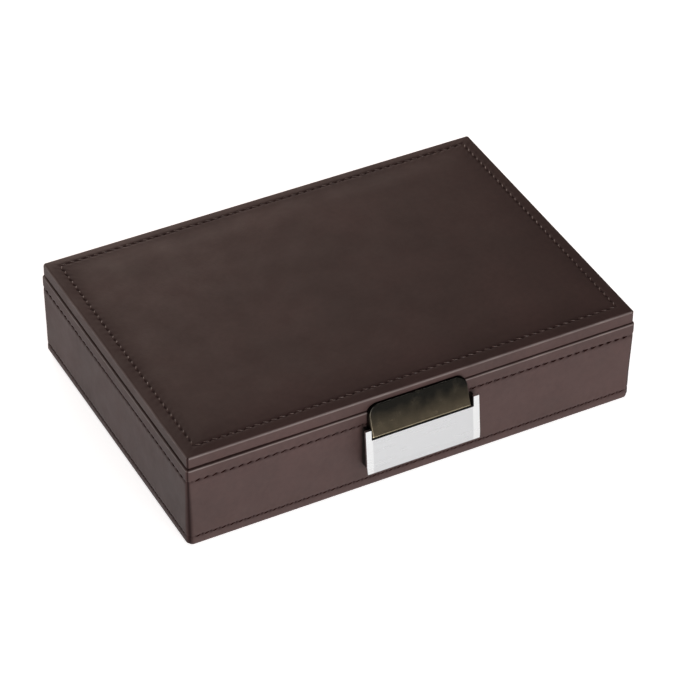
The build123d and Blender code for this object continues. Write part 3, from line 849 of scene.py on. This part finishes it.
def lid_wrap():
    """Points, faces and painted shade and highlight values of the lid's leather, with a plain field in the
    middle.
    """
    stations = wrap_stations(lid_counts)
    columns = len(stations)
    outer, inner = lid_profile(), lid_inner_profile()
    points, creases = [], []
    for inset, z in inner + outer:
        for station in stations:
            point, crease_shade_and_edge_highlight = lid_point(station, inset, z, lid_counts[station[0]])
            points.append(point)
            creases.append(crease_shade_and_edge_highlight)
    rows = len(inner) + len(outer)
    faces = ring_faces(rows, columns, False)
    faces.append(tuple(reversed(range(columns))))
    last = (rows - 1) * columns
    cells_x, cells_y = lid_counts[0], lid_counts[1]
    field = len(points)
    for row in range(cells_y + 1):
        for column in range(cells_x + 1):
            x = (lid_half_x - lid_plain_inset) * (-1 + 2 * column / cells_x)
            y = (lid_half_y - lid_plain_inset) * (-1 + 2 * row / cells_y)
            points.append((x, y, lid_height(x, y)))
            creases.append(0.0)
    faces += grid_faces(field, cells_x + 1, cells_y + 1)
    rim = grid_rim(field, cells_x + 1, cells_y + 1)
    start = cell = 0
    for count in lid_counts:
        for first in range(start, start + count * columns_per_stitch, columns_per_stitch):
            fine = [last + (first + n) % columns for n in range(columns_per_stitch + 1)]
            faces.append((*fine, rim[(cell + 1) % len(rim)], rim[cell]))
            cell += 1
        start += count * columns_per_stitch + corner_steps
    return points, faces, creases


lid_counts = stitch_counts(lid_half_x, lid_half_y, lid_border, lid_stitch_pitch)
lid_leather = mesh_object("lid_cover", *lid_wrap())
lid_leather.data.materials.append(leather)
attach(lid_leather, "lid")
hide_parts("lid_leather")

lid_rows = stitch_rows(
    lid_half_x,
    lid_half_y,
    lid_corner,
    lid_counts,
    inset=lid_border,
    height_of=lambda x, y: lid_height(x, y) - lid_thread_sink,
)
lid_stitches = apply_tree(
    "lid_stitches",
    row_curves(lid_rows),
    lockstitch,
    Stitch_Length=stitch_length * MM,
    Thread_Radius=lid_thread_radius * MM,
    Slant=(0.0, stitch_slant, 0.0),
    Thread=lit_thread,
)
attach(lid_stitches, "lid")


# Lining and dividers. Stiff card wrapped in brushed brown suede cloth: four panels stand against the walls,
# and three long and four short strips, notched half through, slide into each other as a grid of twenty.
# Brushed suede cloth: clouds of paler and darker nap, matt, with a soft sheen towards its edges.
suede, tree, shader = start_material("brushed suede cloth, brown", {"Roughness": 0.95, "Sheen Weight": 0.35})
grain_colour(tree, shader, grain_noise(tree, size_mm=14.0, detail=6.0), "#4b3a32", "#655147")
relief(tree, shader, grain_noise(tree, size_mm=0.6, detail=4.0), depth_mm=0.12)

lining_top_radius = 0.7
divider_top_radius = 0.95
strip_bottom_inset = 0.3
strip_side_starts = (0.4, 2.0)
strip_arc_steps = 8
strip_cell = 2.5
strip_droop = 0.12
droop_length = 19.0
strip_swell = 0.1
swell_length = 8.0
strip_sink = 0.03
notch_half_width = 1.12
notch_overrun = 1


def outward(made):
    """Turn a closed mesh's faces outwards."""
    shape = bmesh.new()
    shape.from_mesh(made.data)
    bmesh.ops.recalc_face_normals(shape, faces=shape.faces)
    shape.to_mesh(made.data)
    shape.free()


def soft_strip(name, node, top_radius):
    """A card strip in soft cloth that fills a CAD strip's box, with a rounded top and a little uneven."""
    low, high = box_mm(node)
    along_x = high.x - low.x > high.y - low.y
    half_long = max(high.x - low.x, high.y - low.y) / 2
    half_thick = min(high.x - low.x, high.y - low.y) / 2
    middle = (low + high) / 2
    side = [low.z + strip_side_starts[0]]
    side += spread(low.z + strip_side_starts[1], high.z - top_radius, count=7)
    profile = [(-half_thick + strip_bottom_inset, low.z)] + [(-half_thick, z) for z in side]
    for step in range(strip_arc_steps + 1):
        a = math.pi * step / strip_arc_steps
        edge = half_thick - top_radius
        shift = -edge if a < math.pi / 2 else edge
        profile.append((shift - top_radius * math.cos(a), high.z - top_radius + top_radius * math.sin(a)))
    profile += [(half_thick, z) for z in reversed(side)] + [(half_thick - strip_bottom_inset, low.z)]
    count = round(2 * half_long / strip_cell)
    points = []
    for number in range(count + 1):
        run = -half_long + 2 * half_long * number / count
        droop = strip_droop * (0.5 + 0.5 * noise.noise(Vector((run, middle.x, middle.y)) / droop_length))
        for across, z in profile:
            swell = noise.noise(Vector((run, z, middle.x + middle.y)) / swell_length)
            wide = across * (1 + (strip_swell * swell - strip_sink) / half_thick)
            share = (z - low.z) / (high.z - low.z)
            x, y = (run, wide) if along_x else (-wide, run)
            points.append((middle.x + x, middle.y + y, z - droop * share))
    columns = len(profile)
    faces = ring_faces(count + 1, columns, False)
    faces += [tuple(range(columns)), tuple(count * columns + n for n in reversed(range(columns)))]
    made = mesh_object(name, points, faces)
    outward(made)
    return made


def cut_notches(made, boxes):
    """Cut boxes, each given by its spans along x, y and z in millimetres, out of a closed mesh."""
    points, faces = [], []
    for span_x, span_y, span_z in boxes:
        start = len(points)
        points += [(x, y, z) for x in span_x for y in span_y for z in span_z]
        for quad in ((0, 1, 3, 2), (4, 6, 7, 5), (0, 4, 5, 1), (2, 3, 7, 6), (0, 2, 6, 4), (1, 5, 7, 3)):
            faces.append(tuple(start + n for n in quad))
    cutter = mesh_object("notch_cutter", points, faces)
    modifier = made.modifiers.new("notches", "BOOLEAN")
    modifier.operation = "DIFFERENCE"
    modifier.solver = "EXACT"
    modifier.object = cutter
    made.data = evaluated_mesh(made)
    bpy.data.objects.remove(cutter)


def finish_lining(made, node):
    """Give a soft piece its cloth, and let it stand for its CAD node on the tray."""
    made.data.materials.append(suede)
    for face in made.data.polygons:
        face.use_smooth = True
    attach(made, "tray")
    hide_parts(node)


for side in ("front", "rear", "left", "right"):
    node = side + "_lining"
    finish_lining(soft_strip(node + "_cloth", node, lining_top_radius), node)
row_nodes = [f"row_divider_{number}" for number in (1, 2, 3)]
column_nodes = [f"column_divider_{number}" for number in (1, 2, 3, 4)]
for nodes, crossing_nodes, axis in ((row_nodes, column_nodes, 0), (column_nodes, row_nodes, 1)):
    for node in nodes:
        low, high = box_mm(node)
        half_height = (low.z + high.z) / 2
        upper_half = (half_height, high.z + notch_overrun)
        lower_half = (low.z - notch_overrun, half_height)
        notches = []
        for crossing in crossing_nodes:
            middle = sum(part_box(crossing), Vector()) / 2 / MM
            spans = [(low[way] - notch_overrun, high[way] + notch_overrun) for way in (0, 1)]
            spans[axis] = (middle[axis] - notch_half_width, middle[axis] + notch_half_width)
            notches.append((*spans, upper_half if nodes is row_nodes else lower_half))
        divider = soft_strip(node + "_cloth", node, divider_top_radius)
        cut_notches(divider, notches)
        finish_lining(divider, node)


# Cushions. The floor is one quilted pad, pressed flat under the dividers and puffed up in each compartment.
# The lid's pad is a crowned slab of foam, its cloth pulled round a card.
slab_roll_steps = 8
slab_cell = 2.6
floor_corner = 1.0
floor_roll = 0.6
puff_height = 0.9
pressed_half_width = 1.3
puff_wave = 0.25
puff_wave_length = 9.0
puff_sink = 0.05
pad_corner = 3.0
pad_roll = 2.2
pad_wave = 0.07
pad_wave_length = 18.0
pad_wave_layer = 3.0
pad_edge_pull = 0.55
pad_edge_width = 9.0
pad_sink = 0.08


def soft_slab(node, name, corner, edge, faces_up, height_of):
    """A pad in a CAD slab's box: its edge rolls over a width, and its face gets a height from a function."""
    low, high = box_mm(node)
    half_x, half_y = (high.x - low.x) / 2, (high.y - low.y) / 2
    middle = (low + high) / 2
    back, face = (low.z, high.z) if faces_up else (high.z, low.z)
    grids = []
    for half in (half_x, half_y):
        rolled = [corner * step / slab_roll_steps for step in range(slab_roll_steps)]
        plain = round(2 * (half - corner) / slab_cell)
        grid = [-half + r for r in rolled]
        grid += [-(half - corner) + 2 * (half - corner) * step / plain for step in range(plain + 1)]
        grids.append(grid + [half - r for r in reversed(rolled)])
    points = []
    for v in grids[1]:
        for u in grids[0]:
            beyond_x = max(abs(u) - (half_x - corner), 0.0) / corner
            beyond_y = max(abs(v) - (half_y - corner), 0.0) / corner
            x, y = u, v
            inset = min(half_x - abs(u), half_y - abs(v))
            if beyond_x > 0 and beyond_y > 0:
                round_x = beyond_x * math.sqrt(1 - beyond_y**2 / 2)
                round_y = beyond_y * math.sqrt(1 - beyond_x**2 / 2)
                x = math.copysign(half_x - corner + corner * round_x, u)
                y = math.copysign(half_y - corner + corner * round_y, v)
                inset = corner * (1 - math.hypot(round_x, round_y))
            share = min(inset / edge, 1.0)
            roll = math.sqrt(max(1 - (1 - share) ** 2, 0.0))
            rise = (face - back) * roll
            rise += height_of(x, y, inset) * roll * (1 if faces_up else -1)
            points.append((middle.x + x, middle.y + y, back + rise))
    wide, deep = len(grids[0]), len(grids[1])
    faces = grid_faces(0, wide, deep)
    faces.append(tuple(reversed(grid_rim(0, wide, deep))))
    made = mesh_object(name, points, faces)
    outward(made)
    return made


def divider_middles(nodes, axis):
    """Where the dividers stand along an axis, with the lining at both ends."""
    pad_low, pad_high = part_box("floor_pad")
    places = [sum(corner[axis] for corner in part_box(node)) / 2 / MM for node in nodes]
    return [pad_low[axis] / MM] + places + [pad_high[axis] / MM]


cell_lines_x = divider_middles(column_nodes, 0)
cell_lines_y = divider_middles(row_nodes, 1)


def puff_share(place, lines):
    """0 under a divider and at the lining, and 1 in the middle of a compartment."""
    for low, high in zip(lines, lines[1:]):
        if low <= place <= high:
            half = (high - low) / 2 - pressed_half_width
            away = min(abs(place - (low + high) / 2) / half, 1.0)
            return 1 - away**4
    return 0.0


def puffs(x, y, inset):
    """Height of the quilted floor over its pressed lines, with a few soft creases."""
    rise = puff_height * puff_share(x, cell_lines_x) * puff_share(y, cell_lines_y)
    return rise * (1 + puff_wave * noise.noise(Vector((x, y, 0)) / puff_wave_length)) - puff_sink


def crown(x, y, inset):
    """The lid pad sinks a little towards its edges, and pulls in along its sides."""
    wave = pad_wave * noise.noise(Vector((x, y, pad_wave_layer)) / pad_wave_length)
    return wave - pad_edge_pull * math.exp(-inset / pad_edge_width) - pad_sink


floor_cushion = soft_slab("floor_pad", "floor_cushion", floor_corner, floor_roll, True, puffs)
finish_lining(floor_cushion, "floor_pad")
lid_cushion = soft_slab("lid_lining_pad", "lid_cushion", pad_corner, pad_roll, False, crown)
lid_cushion.data.materials.append(suede)
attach(lid_cushion, "lid")
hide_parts("lid_lining_pad")


# Underside. A sheet of pressed black felt, glued to the base board, fills the frame of turned leather and is
# what the box stands on.
# Pressed wool felt: matt black, with short fibres that catch a little light.
felt_looks = {"Roughness": 0.95, "Sheen Weight": 0.2}
pressed_felt = grained_material(
    "pressed wool felt, black", felt_looks, "#17171a", "#2c2b2e", size_mm=0.7, detail=6.0, depth_mm=0.2
)
felt_corner = 1.5
felt_roll = 0.5
felt_sink = 0.02
underside_felt = soft_slab(
    "underside_pad", "underside_felt", felt_corner, felt_roll, False, lambda x, y, inset: -felt_sink
)
underside_felt.data.materials.append(pressed_felt)
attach(underside_felt, "tray")
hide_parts("underside_pad")


# Screws. Small slotted countersunk screws, nickel plated, hold the hinge leaves and the hood's foot; whoever
# drove them left each slot at its own angle.
screw_head_radius = 1.38
screw_head_height = 0.58
screw_shank_radius = 0.68
slot_width = 0.45
slot_overrun = 4.0
slot_turn = 1.2
slot_seed = 5
screw_from_end = 1.4
inner_screw_from_end = 13.4


def screw_tree():
    """Geometry nodes: one slotted screw at every vertex, its slot turned by a seeded random angle."""
    sizes = ("Head Radius", "Head Height", "Shank Radius", "Length", "Slot Width", "Tip")
    sockets = {"Places": "Geometry", **{size: "Float" for size in sizes}, "Metal": "Material"}
    tree, given = start_tree("slotted screws", sockets, "Screws")
    head = {"Vertices": 24, "Radius Bottom": given["Shank Radius"], "Radius Top": given["Head Radius"]}
    head = add_node(tree, "GeometryNodeMeshCone", {**head, "Depth": given["Head Height"]}).outputs["Mesh"]
    down = add_node(tree, "ShaderNodeMath", {0: given["Head Height"], 1: -1.0}, operation="MULTIPLY")
    down = add_node(tree, "ShaderNodeCombineXYZ", {"Z": down.outputs["Value"]}).outputs["Vector"]
    seated = {"Geometry": head, "Translation": down}
    seated = add_node(tree, "GeometryNodeTransform", seated).outputs["Geometry"]
    wide = add_node(tree, "ShaderNodeMath", {0: given["Head Radius"], 1: slot_overrun}, operation="MULTIPLY")
    slot = {"X": wide.outputs["Value"], "Y": given["Slot Width"], "Z": given["Head Height"]}
    slot = add_node(tree, "ShaderNodeCombineXYZ", slot).outputs["Vector"]
    slot = add_node(tree, "GeometryNodeMeshCube", {"Size": slot}).outputs["Mesh"]
    slotted = {"Mesh 1": seated, "Mesh 2": slot}
    slotted = add_node(tree, "GeometryNodeMeshBoolean", slotted, operation="DIFFERENCE", solver="EXACT")
    lengths = {0: given["Length"], 1: given["Head Height"]}
    shank = add_node(tree, "ShaderNodeMath", lengths, operation="SUBTRACT").outputs["Value"]
    shank = {"Vertices": 12, "Radius": given["Shank Radius"], "Depth": shank}
    shank = add_node(tree, "GeometryNodeMeshCylinder", shank).outputs["Mesh"]
    middle = add_node(tree, "ShaderNodeMath", lengths, operation="ADD").outputs["Value"]
    middle = add_node(tree, "ShaderNodeMath", {0: middle, 1: -0.5}, operation="MULTIPLY").outputs["Value"]
    middle = add_node(tree, "ShaderNodeCombineXYZ", {"Z": middle})
    shank = {"Geometry": shank, "Translation": middle.outputs["Vector"]}
    shank = add_node(tree, "GeometryNodeTransform", shank).outputs["Geometry"]
    screw = add_node(tree, "GeometryNodeJoinGeometry")
    for part in (slotted.outputs["Mesh"], shank):
        tree.links.new(part, screw.inputs["Geometry"])
    turn = {"Min": (0, 0, -slot_turn), "Max": (0, 0, slot_turn), "Seed": slot_seed}
    turn = add_node(tree, "FunctionNodeRandomValue", turn, data_type="FLOAT_VECTOR").outputs["Value"]
    tip = add_node(tree, "ShaderNodeCombineXYZ", {"X": given["Tip"]}).outputs["Vector"]
    turn = add_node(tree, "ShaderNodeVectorMath", {0: turn, 1: tip}, operation="ADD").outputs["Vector"]
    end_tree(tree, "Screws", given["Places"], screw.outputs["Geometry"], turn, given["Metal"])
    return tree


slotted_screws = screw_tree()


def drive_screws(node, body, places):
    """Screws that fill a CAD node's box, at places in the plan; heads up on the tray, and down on the lid."""
    low, high = box_mm(node)
    heads_up = body == "tray"
    head_z = high.z if heads_up else low.z
    source = mesh_object(node + "_places", [(x, y, head_z) for x, y in places], [])
    made = apply_tree(
        node + "_slotted",
        source,
        slotted_screws,
        Head_Radius=screw_head_radius * MM,
        Head_Height=screw_head_height * MM,
        Shank_Radius=screw_shank_radius * MM,
        Length=(high.z - low.z) * MM,
        Slot_Width=slot_width * MM,
        Tip=0.0 if heads_up else math.pi,
        Metal=bright_nickel,
    )
    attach(made, body)
    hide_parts(node)


for node, body in (("tray_hinge_screws", "tray"), ("lid_hinge_screws", "lid"), ("hood_screws", "lid")):
    low, high = box_mm(node)
    middle_y = (low.y + high.y) / 2
    row = [low.x + screw_from_end, high.x - screw_from_end]
    if node != "hood_screws":
        row += [low.x + inner_screw_from_end, high.x - inner_screw_from_end]
    drive_screws(node, body, [(x, middle_y) for x in row])
